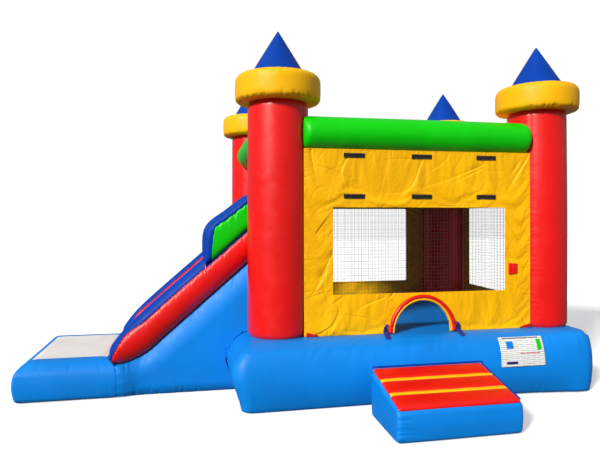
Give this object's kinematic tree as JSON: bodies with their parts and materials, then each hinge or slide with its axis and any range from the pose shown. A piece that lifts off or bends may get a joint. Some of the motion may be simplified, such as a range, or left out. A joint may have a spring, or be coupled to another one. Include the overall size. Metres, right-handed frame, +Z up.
{
  "type": "inflatable bounce house",
  "caption": "Inflatable castle bounce house with corner towers, netted windows, an arched doorway with an entry ramp, a side slide with a landing cushion, and a rear air blower.",
  "frame": {"origin": "middle of the whole object's footprint box, on the ground", "axes": "+X to the house's right as seen from the front, away from the slide; +Y towards the rear, where the blower stands; +Z up"},
  "size_m": [6.495, 6.03, 4.05],
  "materials": {
    "blue_vinyl": "PVC-coated polyester, satin gloss",
    "royal_vinyl": "PVC-coated polyester, satin gloss",
    "red_vinyl": "PVC-coated polyester, glossy",
    "yellow_vinyl": "PVC-coated polyester, satin gloss",
    "green_vinyl": "PVC-coated polyester, glossy",
    "white_vinyl": "PVC-coated polyester, satin",
    "netting": "knotted polyester netting",
    "hook_tape": "woven tape, matt",
    "navy_plastic": "moulded acetal, satin",
    "black_plastic": "moulded, matt",
    "blower_plastic": "rotationally moulded, fine grain",
    "steel": "zinc plated"
  },
  "bodies": {
    "house": {"base_cushion": "blue_vinyl", "ramp_body": "blue_vinyl", "ramp_sleeve": "blue_vinyl", "slide_body": "blue_vinyl", "landing_cushion": "blue_vinyl", "climb_platform": "blue_vinyl", "inflation_sleeve": "blue_vinyl", "cone_front_left": "royal_vinyl", "cone_front_right": "royal_vinyl", "cone_rear_left": "royal_vinyl", "cone_rear_right": "royal_vinyl", "tower_front_left": "red_vinyl", "tower_front_right": "red_vinyl", "tower_rear_left": "red_vinyl", "tower_rear_right": "red_vinyl", "arch_trim": "red_vinyl", "pull_tab": "red_vinyl", "ramp_deck": "red_vinyl", "slide_lane": "red_vinyl", "slide_wall_far": "red_vinyl", "slide_wall_near": "red_vinyl", "collar_front_left": "yellow_vinyl", "collar_front_right": "yellow_vinyl", "collar_rear_left": "yellow_vinyl", "collar_rear_right": "yellow_vinyl", "wall_front": "yellow_vinyl", "wall_back": "yellow_vinyl", "wall_left": "yellow_vinyl", "wall_right": "yellow_vinyl", "roof_panel": "yellow_vinyl", "beam_front": "green_vinyl", "beam_back": "green_vinyl", "beam_left": "green_vinyl", "beam_right": "green_vinyl", "slide_guard_far": "green_vinyl", "slide_guard_near": "green_vinyl", "landing_mat": "white_vinyl", "info_label": "white_vinyl", "net_front": "netting", "net_back": "netting", "net_right": "netting", "hook_strip_lower_left": "hook_tape", "hook_strip_lower_middle": "hook_tape", "hook_strip_lower_right": "hook_tape", "hook_strip_upper_left": "hook_tape", "hook_strip_upper_middle": "hook_tape", "hook_strip_upper_right": "hook_tape", "zip_tape": "hook_tape", "buckle_socket_left": "navy_plastic", "buckle_socket_right": "navy_plastic", "blower_grille": "black_plastic", "blower_casing": "blower_plastic", "blower_motor": "steel"},
    "fan": {"blower_fan": "black_plastic"},
    "switch": {"blower_switch": "black_plastic"},
    "plug_left": {"buckle_plug_left": "navy_plastic"},
    "plug_right": {"buckle_plug_right": "navy_plastic"},
    "zip_pull": {"zip_slider": "steel"},
    "ring_left": {"anchor_ring_left": "steel"},
    "ring_right": {"anchor_ring_right": "steel"}
  },
  "joints": [
    {"name": "fan_spin", "type": "hinge", "parent": "house", "child": "fan", "pos_m": [2.1225, 2.825, 0.225], "axis": [1, 0, 0], "continuous": true},
    {"name": "switch_rock", "type": "hinge", "parent": "house", "child": "switch", "pos_m": [1.9895, 2.92, 0.31], "axis": [0, 1, 0], "range_deg": [-10, 10]},
    {"name": "plug_left_release", "type": "slide", "parent": "house", "child": "plug_left", "axis": [0, 0, 1], "range_m": [0, 0.035]},
    {"name": "plug_right_release", "type": "slide", "parent": "house", "child": "plug_right", "axis": [0, 0, 1], "range_m": [0, 0.035]},
    {"name": "zip_travel", "type": "slide", "parent": "house", "child": "zip_pull", "axis": [1, 0, 0], "range_m": [0, 0.46]},
    {"name": "ring_left_swing", "type": "hinge", "parent": "house", "child": "ring_left", "pos_m": [-0.2775, 1.807, 0.2], "axis": [1, 0, 0], "range_deg": [-25, 115]},
    {"name": "ring_right_swing", "type": "hinge", "parent": "house", "child": "ring_right", "pos_m": [2.6225, 1.807, 0.2], "axis": [1, 0, 0], "range_deg": [-25, 115]}
  ]
}
